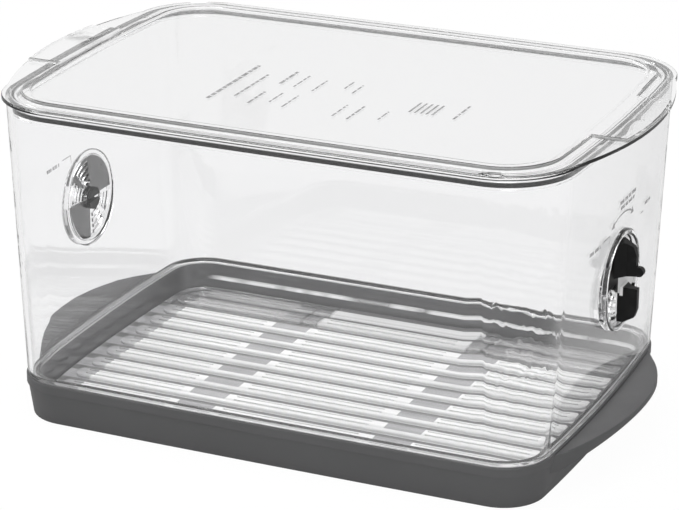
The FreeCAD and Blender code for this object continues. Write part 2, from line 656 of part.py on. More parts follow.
def rack_part():
    """Clear rack: a plate on a foot ring and two rails, with rows of long ribs slit in three stretches."""
    body = body_part("rack")
    plate_low = f"({FLOOR_TOP} + Sizes.rack_foot_height)"
    plate_top = f"({plate_low} + Sizes.rack_plate)"
    lean = "(Sizes.tray_floor_inset - Sizes.tray_rim_land) / (Sizes.tray_rim_height - Sizes.tray_floor)"
    edge = f"({BIN_CAVITY_INSET} + (Sizes.tray_rim_height - {plate_low}) * {lean} + Sizes.rack_margin)"
    plate = outline_sketch(body, "plate_outline", plate_low, *shoulder(edge))
    extrude(body, "Pad", "plate", plate, "Sizes.rack_plate")
    foot = new_sketch(body, "foot_outlines", "XY_Plane", FLOOR_TOP)
    foot_edge = f"{edge} + Sizes.rack_foot_inset"
    add_outline(foot, *shoulder(foot_edge), tag="_outer")
    add_outline(foot, *shoulder(f"{foot_edge} + Sizes.rack_foot_width"), tag="_inner")
    extrude(body, "Pad", "foot_ring", foot, "Sizes.rack_foot_height")
    rail_x = "(Sizes.rack_middle_slits / 2 + Sizes.rack_band_width / 2)"
    rail_y = f"(Sizes.shoulder_half_width - ({foot_edge}) - Sizes.rack_foot_width / 2)"
    rails = new_sketch(body, "rail_outlines", "XY_Plane", FLOOR_TOP)
    both_ends(rails, [
        (f"{rail_x} - Sizes.rack_foot_width / 2", f"-{rail_y}"),
        (f"{rail_x} + Sizes.rack_foot_width / 2", f"-{rail_y}"),
        (f"{rail_x} + Sizes.rack_foot_width / 2", rail_y),
        (f"{rail_x} - Sizes.rack_foot_width / 2", rail_y),
    ])
    extrude(body, "Pad", "rails", rails, "Sizes.rack_foot_height")
    row_room = f"(2 * (Sizes.shoulder_half_width - ({edge}) - Sizes.rack_row_margin) - Sizes.rib_width)"
    count = f"(floor({row_room} / Sizes.rack_row_pitch) + 1)"
    first_row = f"(-({count} - 1) * Sizes.rack_row_pitch / 2)"
    middle = "Sizes.rack_middle_slits / 2"
    near = f"({middle} + Sizes.rack_band_width)"
    far = f"(Sizes.shoulder_half_length - ({edge}) - Sizes.rack_end_margin)"
    columns = (("left", f"-{far}", f"-{near}"), ("middle", f"-{middle}", middle), ("right", near, far))
    rib = new_sketch(body, "rib_outline", "XY_Plane", plate_top)
    add_stadium(rib, f"-{far}", far, first_row, "Sizes.rib_width / 2", "rib")
    row = extrude(body, "Pad", "rib", rib, "Sizes.rib_height")
    row_pattern(body, "rib_rows", [row], rib, count)
    rib_top = f"{plate_top} + Sizes.rib_height"
    fillet(body, "rib_round", level_edges(body.Tip, rib_top), "Sizes.rib_round")
    slits = new_sketch(body, "slit_outlines", "XY_Plane", rib_top)
    for label, start, end in columns:
        for side, sign in (("front", "-"), ("back", "+")):
            low = f"({first_row} {sign} Sizes.slit_spacing / 2 - Sizes.slit_width / 2)"
            left_x = f"({start} + Sizes.slit_end_margin)"
            right_x = f"({end} - Sizes.slit_end_margin)"
            add_polygon(slits, [
                (left_x, low),
                (right_x, low),
                (right_x, f"{low} + Sizes.slit_width"),
                (left_x, f"{low} + Sizes.slit_width"),
            ], f"{label}_{side}_")
    cut = extrude(body, "Pocket", "slits", slits, "Sizes.rib_height + Sizes.rack_plate")
    row_pattern(body, "slit_rows", [cut], slits, count)
    return body


def lid_part():
    """Clear lid: a flange with bowed wings, a raised bead round a sunk pane, tabs and a grooved skirt."""
    body = body_part("lid")
    flange_low = "(Sizes.bin_height + Sizes.lid_seat_gap)"
    flange_top = f"({flange_low} + Sizes.flange_thickness)"
    flange = outline_sketch(body, "flange_outline", flange_low, *mouth("-Sizes.flange_overhang"))
    extrude(body, "Pad", "flange", flange, "Sizes.flange_thickness")
    fillet(body, "flange_round", level_edges(body.Tip, flange_top), "Sizes.flange_round")
    reach = "(Sizes.mouth_half_length + Sizes.flange_overhang + Sizes.tab_width)"
    root = "(Sizes.mouth_half_length + Sizes.flange_overhang - Sizes.wing_root_inset)"
    wings = new_sketch(body, "wing_plan", "XY_Plane", flange_low)
    add_winged_bar(wings, reach, root, "Sizes.wing_half_span")
    extrude(body, "Pad", "wings", wings, "Sizes.flange_thickness")
    bead_edge = "Sizes.bead_inset - Sizes.flange_overhang"
    bead = outline_sketch(body, "bead_outline", flange_low, *mouth(bead_edge))
    extrude(body, "Pad", "bead", bead, f"{LID_TOP} - {flange_low}")
    tabs = new_sketch(body, "tab_plan", "XY_Plane", f"{LID_TOP} - Sizes.tab_thickness")
    rise = f"({reach} - {root})"
    radius = f"((pow(Sizes.wing_half_span; 2) + pow({rise}; 2)) / (2 * {rise}))"
    tab_drop = f"({radius} - sqrt(pow({radius}; 2) - pow(Sizes.tab_half_span; 2)))"
    add_winged_bar(tabs, f"({reach} - Sizes.tab_inset)", f"({reach} - Sizes.tab_inset - {tab_drop})",
                   "Sizes.tab_half_span")
    extrude(body, "Pad", "tabs", tabs, "Sizes.tab_thickness")
    pane_edge = mouth(f"{bead_edge} + Sizes.bead_width")
    pane = outline_sketch(body, "pane_outline", LID_TOP, *pane_edge)
    extrude(body, "Pocket", "pane_recess", pane, "Sizes.pane_drop")
    fillet(body, "bead_round", level_edges(body.Tip, LID_TOP), "Sizes.bead_round")
    skirt_edge = "Sizes.box_wall + Sizes.skirt_clearance"
    skirt = outline_sketch(body, "skirt_outline", flange_low, *mouth(skirt_edge))
    extrude(body, "Pad", "skirt", skirt, "Sizes.skirt_depth", reverse=True)
    skirt_low = f"({flange_low} - Sizes.skirt_depth)"
    inside = mouth(f"{skirt_edge} + Sizes.skirt_wall")
    inner = outline_sketch(body, "skirt_inner_outline", skirt_low, *inside)
    pane_low = f"({LID_TOP} - Sizes.pane_drop - Sizes.pane_thickness)"
    extrude(body, "Pocket", "skirt_hollow", inner, f"{pane_low} - {skirt_low}", reverse=True)
    groove = new_sketch(body, "groove_outlines", "XY_Plane", GROOVE_LOW)
    add_outline(groove, *mouth("0"), tag="_outer")
    add_outline(groove, *mouth(f"{skirt_edge} + Sizes.groove_depth"), tag="_inner")
    extrude(body, "Pocket", "seal_groove", groove, "Sizes.groove_height", reverse=True)
    return body


def lid_gasket():
    """Soft seal: a root band in the groove and two lips that reach towards the wall."""
    body = body_part("lid_gasket")
    skirt_edge = "Sizes.box_wall + Sizes.skirt_clearance"
    low = f"({GROOVE_LOW} + Sizes.seal_clearance)"
    root_height = "(Sizes.groove_height - 2 * Sizes.seal_clearance)"
    root_inset = f"{skirt_edge} + Sizes.groove_depth - Sizes.seal_clearance"
    root = new_sketch(body, "root_outlines", "XY_Plane", low)
    add_outline(root, *mouth(skirt_edge), tag="_outer")
    add_outline(root, *mouth(root_inset), tag="_inner")
    extrude(body, "Pad", "root_band", root, root_height)
    lip_edge = wall_outline(low, "Sizes.box_wall + Sizes.seal_wall_gap")
    upper = f"({low} + {root_height} - Sizes.seal_lip)"
    for name, height in (("lower_lip", low), ("upper_lip", upper)):
        lip = new_sketch(body, f"{name}_outlines", "XY_Plane", height)
        add_outline(lip, *lip_edge, tag="_outer")
        add_outline(lip, *mouth(f"{skirt_edge} + Sizes.seal_clearance"), tag="_inner")
        extrude(body, "Pad", name, lip, "Sizes.seal_lip")
    return body


def vent_dial(name, end):
    """Black dial, drawn about its own axis along X and set in the right (1) or left (-1) vent seat.

    Two quarter blades carry a finger fin each. The split hub passes the seat and catches behind it."""
    body = body_part(name)
    plate_top = "(Sizes.dial_gap + Sizes.dial_plate)"
    radius = "(Sizes.vent_radius - Sizes.vent_ring_wall - Sizes.dial_radial_gap)"
    blade = new_sketch(body, "blade_outline", "YZ_Plane", "Sizes.dial_gap")
    add_quarter(blade, radius, "0", "blade")
    first = extrude(body, "Pad", "blade", blade, "Sizes.dial_plate")
    rim = new_sketch(body, "rim_outline", "YZ_Plane", "Sizes.dial_gap")
    add_quarter(rim, radius, f"{radius} - Sizes.dial_rim_width", "rim")
    edge = extrude(body, "Pad", "rim", rim, "Sizes.dial_rim_height")
    fin = new_sketch(body, "fin_section", "XY_Plane", "Sizes.dial_fin_start")
    add_polygon(fin, [
        ("Sizes.dial_gap", "0"),
        (f"{plate_top} + Sizes.dial_fin_height", "0"),
        (f"{plate_top} + Sizes.dial_fin_height", "-Sizes.dial_fin_ridge"),
        (f"{plate_top} + Sizes.dial_fin_height / 2", "-Sizes.dial_fin_ridge - Sizes.dial_plate"),
        (plate_top, "-Sizes.dial_fin_base"),
        ("Sizes.dial_gap", "-Sizes.dial_fin_base"),
    ])
    ridge = extrude(body, "Pad", "fin", fin, f"{radius} - Sizes.dial_fin_start")
    shape = new_sketch(body, "fin_end", "XZ_Plane")
    top = f"({plate_top} + Sizes.dial_fin_height)"
    add_polygon(shape, [
        (f"{plate_top} + Sizes.dial_plate", f"{radius} + Sizes.dial_gap"),
        (f"{top} - Sizes.dial_plate", f"{radius} - Sizes.dial_fin_shoulder"),
        (f"{top} + Sizes.dial_gap", f"{radius} - Sizes.dial_fin_bevel"),
        (f"2 * {top}", f"{radius} - Sizes.dial_fin_bevel"),
        (f"2 * {top}", f"{radius} + Sizes.dial_gap"),
    ])
    trim = extrude(body, "Pocket", "fin_shoulder", shape, f"2 * {radius}", both=True)
    dimple = new_sketch(body, "dimple_outline", "YZ_Plane", "Sizes.dial_gap")
    place = "Sizes.dial_dimple_place * cos(45)"
    spread = size(place)
    hole = size("Sizes.dial_dimple")
    circle = Part.Circle(Vector(-spread, spread, 0), Vector(0, 0, 1), hole)
    spot = dimple.addGeometry(circle, False)
    bind(dimple, "dimple_radius", Sketcher.Constraint("Radius", spot, hole), "Sizes.dial_dimple")
    bind(dimple, "dimple_y", Sketcher.Constraint("DistanceX", spot, 3, -spread), f"-{place}")
    bind(dimple, "dimple_z", Sketcher.Constraint("DistanceY", spot, 3, spread), place)
    mark = extrude(body, "Pocket", "dimple", dimple, "Sizes.dial_dimple_depth", reverse=True)
    pattern_turn(body, "second_blade", [first, edge, ridge, trim, mark], "X_Axis")
    ring = new_sketch(body, "trim_rings", "YZ_Plane", "0")
    add_circle(ring, radius, "trim_inner")
    add_circle(ring, f"2 * {radius}", "trim_outer")
    extrude(body, "Pocket", "trim_round", ring, f"2 * {top}", reverse=True)
    hub = new_sketch(body, "hub_outline", "YZ_Plane", "Sizes.dial_gap")
    add_circle(hub, "Sizes.dial_hub_radius", "hub")
    extrude(body, "Pad", "hub", hub, "Sizes.dial_plate")
    shaft = new_sketch(body, "shaft_outline", "YZ_Plane", "Sizes.dial_gap")
    add_circle(shaft, "Sizes.dial_shaft", "shaft")
    seat = f"({DISC_FACE} - {DISC_BACK})"
    shaft_length = f"({seat} + 2 * Sizes.dial_gap)"
    extrude(body, "Pad", "shaft", shaft, shaft_length, reverse=True)
    catch = new_sketch(body, "catch_outline", "YZ_Plane", f"-{seat} - Sizes.dial_gap")
    add_circle(catch, "Sizes.dial_catch", "catch")
    extrude(body, "Pad", "catch", catch, "Sizes.dial_catch_length", reverse=True)
    split = new_sketch(body, "split_outline", "YZ_Plane", "0")
    half = "Sizes.dial_split / 2"
    add_polygon(split, [
        ("-Sizes.dial_hub_radius", f"-{half}"),
        ("Sizes.dial_hub_radius", f"-{half}"),
        ("Sizes.dial_hub_radius", half),
        ("-Sizes.dial_hub_radius", half),
    ])
    extrude(body, "Pocket", "split", split, f"{seat} + Sizes.dial_gap + Sizes.dial_catch_length")
    tip = new_sketch(body, "tip_outline", "XZ_Plane")
    tip_z = "(Sizes.dial_fin_start + Sizes.dial_tip_radius)"
    tip_start = f"{top} - 2 * Sizes.dial_tip_radius"
    tip_end = f"{top} + Sizes.dial_tip_length"
    add_stadium(tip, tip_start, tip_end, tip_z, "Sizes.dial_tip_radius", "tip")
    extrude(body, "Pad", "tip", tip, "Sizes.dial_fin_ridge")
    if end < 0:
        body.Placement = FreeCAD.Placement(Vector(0, 0, 0), FreeCAD.Rotation(Vector(0, 0, 1), 180))
    body.setExpression("Placement.Base.x", f"{end} * {DISC_FACE}")
    body.setExpression("Placement.Base.z", "Sizes.vent_height")
    doc.recompute()
    return body


def finish(parts):
    """Check every object, then write each sub-part to its own file."""
    doc.recompute()
    for item in doc.Objects:
        if "Invalid" in item.State or "Error" in item.State:
            raise RuntimeError(f"{item.Name} failed: {item.State}")
    for part in parts:
        if part.Shape.isNull() or not part.Shape.isValid():
            raise RuntimeError(f"{part.Label} has no sound shape")
        if len(part.Shape.Solids) != 1:
            raise RuntimeError(f"{part.Label} is not one solid")
    os.makedirs("parts", exist_ok=True)
    for part in parts:
        part.Shape.exportStep(f"parts/{part.Label}.step")


tray = base_tray()
tray_rounds(tray)
finish([
    tray,
    bin_part(bin_body()),
    rack_part(),
    lid_part(),
    lid_gasket(),
    vent_dial("vent_dial_right", 1),
    vent_dial("vent_dial_left", -1),
])
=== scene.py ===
import json
import math

import bpy
import numpy as np
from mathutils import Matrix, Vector


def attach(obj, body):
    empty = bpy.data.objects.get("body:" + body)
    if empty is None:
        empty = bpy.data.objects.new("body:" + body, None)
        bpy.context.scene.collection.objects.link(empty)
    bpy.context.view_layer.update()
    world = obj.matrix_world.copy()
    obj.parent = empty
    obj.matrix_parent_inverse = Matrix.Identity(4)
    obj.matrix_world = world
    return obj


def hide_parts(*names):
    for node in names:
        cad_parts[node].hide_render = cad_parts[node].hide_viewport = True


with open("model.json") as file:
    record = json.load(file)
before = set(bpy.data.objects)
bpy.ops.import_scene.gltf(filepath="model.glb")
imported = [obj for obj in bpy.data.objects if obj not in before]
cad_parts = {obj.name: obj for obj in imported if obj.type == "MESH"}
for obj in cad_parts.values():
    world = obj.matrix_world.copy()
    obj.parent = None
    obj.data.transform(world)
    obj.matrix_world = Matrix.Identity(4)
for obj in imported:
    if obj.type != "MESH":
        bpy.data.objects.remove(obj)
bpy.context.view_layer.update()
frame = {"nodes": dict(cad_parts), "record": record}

# Produce keeper, dressed for the picture. Sizes are worked out in millimetres and put into the meshes in metres.
# +X runs along the box, +Y to the back, +Z up; the keeper stands on z = 0.
MM = 0.001
MICROMETRES = 1e6
NODES = frame["nodes"]
BODY_OF = {node: body for body, members in frame["record"]["behaviour"]["bodies"].items() for node in members}

# Box and lid: heights, and the angles that the bowed ends and sides turn through from their middle to a corner.
VENT_HEIGHT, PANE_TOP = 93.5, 181.3
END_SWING, SIDE_SWING = math.radians(3.9), math.radians(0.6)
# Half length, half width, corner radius and height of the box's outline, at the foot of its wall and at its rim.
WALL_FOOT, WALL_RIM = (153.6, 104.6, 26.3, 23.6), (161.4, 111.0, 38.9, 179.4)

# Foot of the box: heights of the painted highlight lines, on the moulded step under the shoulder and on the wall
# above the floor.
NEST_STEP, FOOT_GLINT = (23.4, 24.4), (13.6, 15.6)
# Lid: the height at which its bead rises from the pane, and where its softness and its painted sheen end.
BEAD_LOW, BEAD_SOFT_TOP, BEAD_SHEEN_TOP = 181.65, 182.6, 182.9

# Rack, across a rib from its middle line, back being plus: its front band, its slats and its pale grey painted shade
# lines.
RACK_PITCH = 17.5
RIB_FRONT, RIB_SLATS, RIB_BACK = -7.3, -3.2, 3.9
RIB_SOFT = 0.3
SLIT_PLACE, SLIT_HALF = -2.2, 0.75
EDGE_PLACE, EDGE_HALF = -6.2, 0.3
# Rack, along the ribs: where a whitish highlight is painted, and where lined. The rear row is clear but for its
# middle.
RIB_START, RIB_END = -129.0, 136.5
SLAT_HIGHLIGHT_STRETCHES = ((-125.8, -67.0), (-45.0, 48.5), (70.5, 136.8))
REAR_ROW, REAR_MIDDLE = 61.0, (-45.0, 47.0)
# Rack, upwards: the height from which its painted highlights and shade begin.
RACK_PAINT_LOW = 8.6

# Dial: its outer face, the bar beside the hub, and where its raised parts wear.
DIAL_FACE = (158.6, 160.4)
BAR_EDGE, BAR_HALF = -4.2, 8.8
DIAL_WEAR = (160.0, 169.0)

PLASTIC_IOR = 1.49

# Marks made of dashes: a dash's mean length, how far it swings about that, the step of its sine, and the space.
DASH_MEAN, DASH_SWING, DASH_STEP, DASH_SPACE = 5.0, 2.0, 2.4, 1.2
# Marks on the pane: each line's place along X, its two ends along Y and its width.
PANE_LINES = (
    (-53.0, -55.0, 8.0, 2.2), (-41.5, -46.0, -5.0, 1.5), (-30.0, -54.0, -33.0, 1.5), (-29.0, -17.0, 6.0, 1.8),
    (-20.5, -48.0, -31.0, 1.1), (-20.0, -19.0, 2.0, 1.1), (-11.0, -53.0, -32.0, 1.1), (-8.0, -22.0, -2.0, 1.1),
    (6.0, -11.0, 1.0, 1.1), (13.0, -17.0, -2.0, 1.1), (19.0, -56.0, -36.0, 1.1), (28.0, -58.0, -34.0, 1.3),
    (43.0, -52.0, -38.0, 1.1), (78.0, -36.0, -12.0, 1.3))
PANE_BARS, PANE_BAR_WIDTH, PANE_BAR_ENDS = np.arange(52.0, 68.0, 3.2), 1.2, (-34.0, -17.0)
PANE_MARK_LIFT, WALL_MARK_LIFT = 0.05, 0.08
# Marks on the end walls: two ends along Y, low and high edge, and for a line of dashes the seed of its lengths.
BRACKET = ((-28.0, -18.0, 123.4, 124.0), (-18.6, -18.0, 119.4, 123.4))
BOTH_ENDS_WORDS = ((-47.0, -32.0, 121.6, 123.6, 0.5),)
RIGHT_END_WORDS = ((-6.0, 20.0, 136.4, 138.4, 1.0), (-4.0, 18.0, 133.0, 135.0, 2.0), (40.0, 51.0, 121.6, 123.4, 3.0))
RIGHT_END_LEADER = (33.0, 38.0, 118.6, 119.2)
# Turning arrow round the vent: its ends and steps, the radii of its line, and the radii and reach of its tips.
ARROW_TURNS = np.radians(np.linspace(-20.0, 24.0, 12))
ARROW_LINE, ARROW_TIP, ARROW_REACH = (36.4, 37.4), (34.6, 36.9, 39.2), 0.12

# Camera: turn, lift and distance round a target, and its focal length and offset in pixels of the picture.
TURN, LIFT, DISTANCE, TARGET_HEIGHT = math.radians(24.10), math.radians(20.95), 1.5472, 0.080
PICTURE_WIDTH, FOCAL, OFFSET = 679, 2835.54, (-3.21, 4.15)
SENSOR = 36

# Lamps: name, place, width, height and power. They all point at one place.
LAMPS = (
    ("top_soft", (-0.2, -0.1, 1.6), 1.6, 1.2, 18),
    ("front_soft", (0.9, -1.6, 1.0), 0.9, 0.9, 14),
    ("left_soft", (-1.7, -0.3, 0.7), 0.8, 1.0, 10))
LAMP_TARGET = (0, 0, 0.1)

# Room: grey of the surroundings by height, from straight down (0) over level (0.5) to straight up (1).
ROOM_STOPS = ((0.0, 1.0), (0.62, 1.0), (0.74, 0.75), (0.9, 0.4), (1.0, 0.3))
ROOM_FILL, ROOM_MIRROR_LOSS = 0.55, 0.3
FLOOR_HALF, FLOOR_DROP, FLOOR_PLAIN, FLOOR_MIRROR_LOSS = 6.0, 0.0002, 0.97, 0.5


# Shader maths

class Sum:
    """A shader socket that adds Math nodes when it is used in an expression."""

    def __init__(self, shader, socket):
        self.shader, self.socket = shader, socket

    def _join(self, operation, *values):
        return self.shader.node("ShaderNodeMath", {"operation": operation}, dict(enumerate(values)))

    def __add__(self, other):
        return self._join("ADD", self, other)

    def __radd__(self, other):
        return self._join("ADD", other, self)

    def __sub__(self, other):
        return self._join("SUBTRACT", self, other)

    def __rsub__(self, other):
        return self._join("SUBTRACT", other, self)

    def __mul__(self, other):
        return self._join("MULTIPLY", self, other)

    def __rmul__(self, other):
        return self._join("MULTIPLY", other, self)

    def __truediv__(self, other):
        return self._join("DIVIDE", self, other)

    def __rtruediv__(self, other):
        return self._join("DIVIDE", other, self)

    def __abs__(self):
        return self._join("ABSOLUTE", self)

    def fraction(self):
        return self._join("FRACT", self)

    def larger(self, other):
        return self._join("MAXIMUM", self, other)

    def ramp(self, low, high, to_low=0.0, to_high=1.0):
        """Straight run from one value to another between two limits, level outside them."""
        values = {"Value": self, "From Min": low, "From Max": high, "To Min": to_low, "To Max": to_high}
        return self.shader.node("ShaderNodeMapRange", {"clamp": True}, values)

    def band(self, start, end, rise, fall=None):
        """One between two limits and nought outside: it climbs from the start and sinks from the end."""
        fall = rise if fall is None else fall
        return self.ramp(start, start + rise) * self.ramp(end, end + fall, 1.0, 0.0)


class Shader:
    """A node tree whose nodes are written as expressions."""

    def __init__(self, tree):
        self.tree = tree
        tree.nodes.clear()

    def node(self, kind, settings, inputs, output=0):
        """Add one node: its settings first, such as a ramp's stops, then the values or links of its sockets."""
        new = self.tree.nodes.new(kind)
        for key, value in settings.items():
            if key == "stops":
                self._set_stops(new.color_ramp.elements, value)
            else:
                setattr(new, key, value)
        for key, value in inputs.items():
            if isinstance(value, Sum):
                self.tree.links.new(value.socket, new.inputs[key])
            else:
                new.inputs[key].default_value = value
        return Sum(self, new.outputs[output]) if new.outputs else None

    def _set_stops(self, elements, stops):
        elements[0].position, elements[1].position = stops[0][0], stops[-1][0]
        for place, _ in stops[1:-1]:
            elements.new(place)
        for element, (_, value) in zip(elements, stops):
            element.color = grey(value)

    def rays(self):
        """Camera rays, rays mirrored off a surface, and rays that went through one: each one or nought."""
        kinds = ("Camera", "Glossy", "Transmission")
        return [self.node("ShaderNodeLightPath", {}, {}, f"Is {kind} Ray") for kind in kinds]


class Finish(Shader):
    """A material of its own."""

    def __init__(self, name):
        self.material = bpy.data.materials.new(name)
        self.material.use_nodes = True
        super().__init__(self.material.node_tree)
        self.place = self.node("ShaderNodeTexCoord", {}, {}, "Object")

    def axes(self):
        """Object coordinates along X, Y and Z, in millimetres."""
        scaled = self.node("ShaderNodeVectorMath", {"operation": "SCALE"}, {0: self.place, "Scale": 1 / MM})
        return [self.node("ShaderNodeSeparateXYZ", {}, {0: scaled}, axis) for axis in "XYZ"]

    def noise(self, per_metre, detail=2.0, stretch=(1, 1, 1)):
        """Noise with a number of cells to the metre, stretched along the axes."""
        place = self.node("ShaderNodeMapping", {}, {"Vector": self.place, "Scale": stretch})
        return self.node("ShaderNodeTexNoise", {}, {"Vector": place, "Scale": per_metre, "Detail": detail})

    def mix(self, share, low, high):
        """Colour between two colours."""
        settings = {"data_type": "RGBA", "blend_type": "MIX"}
        return self.node("ShaderNodeMix", settings, {"Factor": share, 6: low, 7: high}, 2)

    def bump(self, height, strength, distance):
        return self.node("ShaderNodeBump", {}, {"Height": height, "Strength": strength, "Distance": distance})

    def principled(self, **sockets):
        names = {key.replace("_", " ").title().replace("Ior", "IOR"): value for key, value in sockets.items()}
        return self.node("ShaderNodeBsdfPrincipled", {}, names)

    def finish(self, surface):
        self.node("ShaderNodeOutputMaterial", {}, {"Surface": surface})
        return self.material


def grey(value, blue=1.0):
    return (value, value, value * blue, 1.0)


# Finishes

def clear_plastic(name, tint, painted_light=None, softened=None):
    """Polished clear plastic that lets lamplight through, with faint scuffs, and where asked a whitish coat whose
    colour paints highlights, and on the rack shade lines.
    """
    look = Finish(name)
    roughness = look.noise(60, 4.0).ramp(0.5, 0.8, 0.0, 0.012)
    if softened is not None:
        roughness = roughness + softened(look)
    glass = look.principled(base_color=tint, roughness=roughness, transmission_weight=1.0, ior=PLASTIC_IOR)
    if painted_light is not None:
        painted_share, white = painted_light(look)
        # Whitish rough coat mixed into the clear plastic: painted highlights, and on the rack painted shade lines
        # too.
        painted_coat = look.principled(base_color=white, roughness=0.35, transmission_weight=0.15, ior=PLASTIC_IOR)
        glass = look.node("ShaderNodeMixShader", {}, {0: painted_share, 1: glass, 2: painted_coat})
    shadow = look.node("ShaderNodeLightPath", {}, {}, "Is Shadow Ray")
    open_way = look.node("ShaderNodeBsdfTransparent", {}, {"Color": grey(0.94)})
    return look.finish(look.node("ShaderNodeMixShader", {}, {0: shadow, 1: glass, 2: open_way}))


def rack_painted_light(look):
    """Share and colour of the rack's painted light: a whitish coat of painted highlights, and painted shade lines.

    It is strong on each rib's front band and on its slats where they are lined, weaker on the slats between the
    stretches, and dark in the gaps between the ribs, so that each row ends in a dark painted shade line. A pale grey
    painted shade line runs along the front slit and along the front edge. The rear row stays clear, but for its
    middle."""
    x, y, z = look.axes()
    across = (y / RACK_PITCH + 0.5).fraction() * RACK_PITCH - RACK_PITCH / 2
    front = across.band(RIB_FRONT, RIB_SLATS, RIB_SOFT)
    slats = across.band(RIB_SLATS, RIB_BACK, RIB_SOFT)
    gap_shade = 1.0 - across.band(RIB_FRONT, RIB_BACK, RIB_SOFT)
    slit_shade = abs(across - SLIT_PLACE).ramp(SLIT_HALF, SLIT_HALF + 0.5, 1.0, 0.0)
    edge_shade = abs(across - EDGE_PLACE).ramp(EDGE_HALF, EDGE_HALF + 0.4, 1.0, 0.0)

    stretch = sum(x.band(low - 0.6, high, 0.6) for low, high in SLAT_HIGHLIGHT_STRETCHES)
    whole = x.band(RIB_START, RIB_END, 3.0, 2.0)
    # Painted highlights: the whitish coat on the ribs' front bands and on the lined slats stands in for the lamps
    # mirrored in the ribs.
    rib_highlight = front * whole
    slat_highlight = slats * stretch
    share = (rib_highlight * 0.92).larger(slat_highlight * 0.93).larger((front + slats) * 0.5).larger(gap_shade * 0.85).larger(0.14)
    rear = y.ramp(REAR_ROW, REAR_ROW + 0.5)
    share = share * (1.0 - rear * (0.7 - x.band(*REAR_MIDDLE, 2.0) * 0.45))

    streaks = look.noise(260, 3.0, (0.03, 1, 1)).ramp(0.35, 0.65)
    faint_highlight_tone = look.mix(streaks, grey(0.46, 1.02), grey(0.60, 1.01))
    slat_highlight_tone = look.mix(streaks, grey(0.76), grey(0.84))
    rib_highlight_tone = look.mix(streaks, grey(0.60), grey(0.80))
    tone = look.mix(rib_highlight, look.mix(slat_highlight, faint_highlight_tone, slat_highlight_tone), rib_highlight_tone)
    # Painted shade: pale grey lines along the front slit and the front edge, and dark grey in the gaps between the
    # ribs.
    tone = look.mix(slit_shade * stretch, tone, grey(0.66))
    tone = look.mix(edge_shade * whole, tone, grey(0.58))
    return share * z.ramp(RACK_PAINT_LOW, RACK_PAINT_LOW + 0.4), look.mix(gap_shade, tone, grey(0.12))


def nest_painted_glints(look):
    """Share and colour of the painted highlights in the box's foot: pale lines on the moulded step under the
    shoulder all round, and on the wall above the floor along the back and round the left corners."""
    x, y, z = look.axes()
    # Painted highlights: pale lines where the lamps would be mirrored in the curves of the box's foot.
    step = z.band(*NEST_STEP, 0.3, 0.5) * y.ramp(-90.0, -60.0, 0.2, 0.5)
    low_glint = z.band(*FOOT_GLINT, 0.6) * y.ramp(60.0, 80.0) * x.ramp(-132.0, -122.0)
    broken = look.noise(45, 2.0, (1, 1, 0.2)).ramp(0.38, 0.5, 0.35, 1.0)
    return step.larger(low_glint * broken * 0.75), look.mix(broken, grey(0.8), grey(0.92))


def bead_softness(look):
    """Roughness of the lid's bead: its moulded flanks are less polished than the flange and the pane."""
    return look.axes()[2].band(BEAD_LOW, BEAD_SOFT_TOP, 0.1, 0.5) * 0.12


def bead_painted_sheen(look):
    """Share and colour of the painted sheen: a thin pale coat on the upright sides of the lid's bead, lightening
    them as a highlight would.
    """
    return look.axes()[2].band(BEAD_LOW, BEAD_SHEEN_TOP, 0.05, 0.2) * 0.38, grey(0.85)


def satin_grey(name):
    """Moulded grey plastic: a very fine grain, a slightly cloudy tone and an uneven sheen."""
    look = Finish(name)
    tone = look.mix(look.noise(14, 3.0).ramp(0.3, 0.7), grey(0.070, 1.02), grey(0.076, 1.02))
    roughness = look.noise(35, 3.0).ramp(0.3, 0.7, 0.40, 0.50)
    normal = look.bump(look.noise(2600, 2.0), 0.12, 0.00015)
    return look.finish(look.principled(base_color=tone, roughness=roughness, normal=normal,
                                       specular_ior_level=0.28))


def satin_black(name):
    """Black dial plastic with a fine grain, light wear on its raised parts and a pale bar beside the hub."""
    look = Finish(name)
    x, y, z = look.axes()
    wear = abs(x).ramp(*DIAL_WEAR) * look.noise(220, 3.0).ramp(0.5, 0.8)
    tone = look.mix(wear, grey(0.003), grey(0.012))
    side = x.ramp(-1.0, 1.0, -1.0, 1.0) * y
    bar = side.ramp(BAR_EDGE, BAR_EDGE + 0.4) * abs(z - VENT_HEIGHT).ramp(BAR_HALF, BAR_HALF + 0.4, 1.0, 0.0)
    tone = look.mix(bar * abs(x).band(*DIAL_FACE, 0.2), tone, grey(0.62))
    roughness = look.noise(90, 3.0).ramp(0.3, 0.7, 0.34, 0.44)
    normal = look.bump(look.noise(3000, 2.0), 0.1, 0.0001)
    return look.finish(look.principled(base_color=tone, roughness=roughness, normal=normal,
                                       specular_ior_level=0.2))


def soft_seal(name):
    """Dark grey rubber with a dusty bloom."""
    look = Finish(name)
    bloom = look.noise(180, 4.0)
    tone = look.mix(bloom, grey(0.010), grey(0.016))
    return look.finish(look.principled(base_color=tone, roughness=0.6, normal=look.bump(bloom, 0.05, 0.0002),
                                       specular_ior_level=0.2))


def ink(name):
    """Grey print, thin and a little uneven."""
    look = Finish(name)
    cover = look.noise(700, 2.0).ramp(0.3, 0.6, 0.45, 0.85)
    print_coat = look.principled(base_color=grey(0.16), roughness=0.6)
    bare = look.node("ShaderNodeBsdfTransparent", {}, {"Color": grey(1.0)})
    return look.finish(look.node("ShaderNodeMixShader", {}, {0: cover, 1: bare, 2: print_coat}))


# Meshes

def put_mesh(name, points, faces, material, body):
    """Make a mesh piece from points in metres, give it its finish and ride it on its body."""
    mesh = bpy.data.meshes.new(name)
    mesh.from_pydata(points.tolist(), [], [list(face) for face in faces])
    mesh.validate()
    mesh.materials.append(material)
    piece = bpy.data.objects.new(name, mesh)
    bpy.context.scene.collection.objects.link(piece)
    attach(piece, body)
    return piece


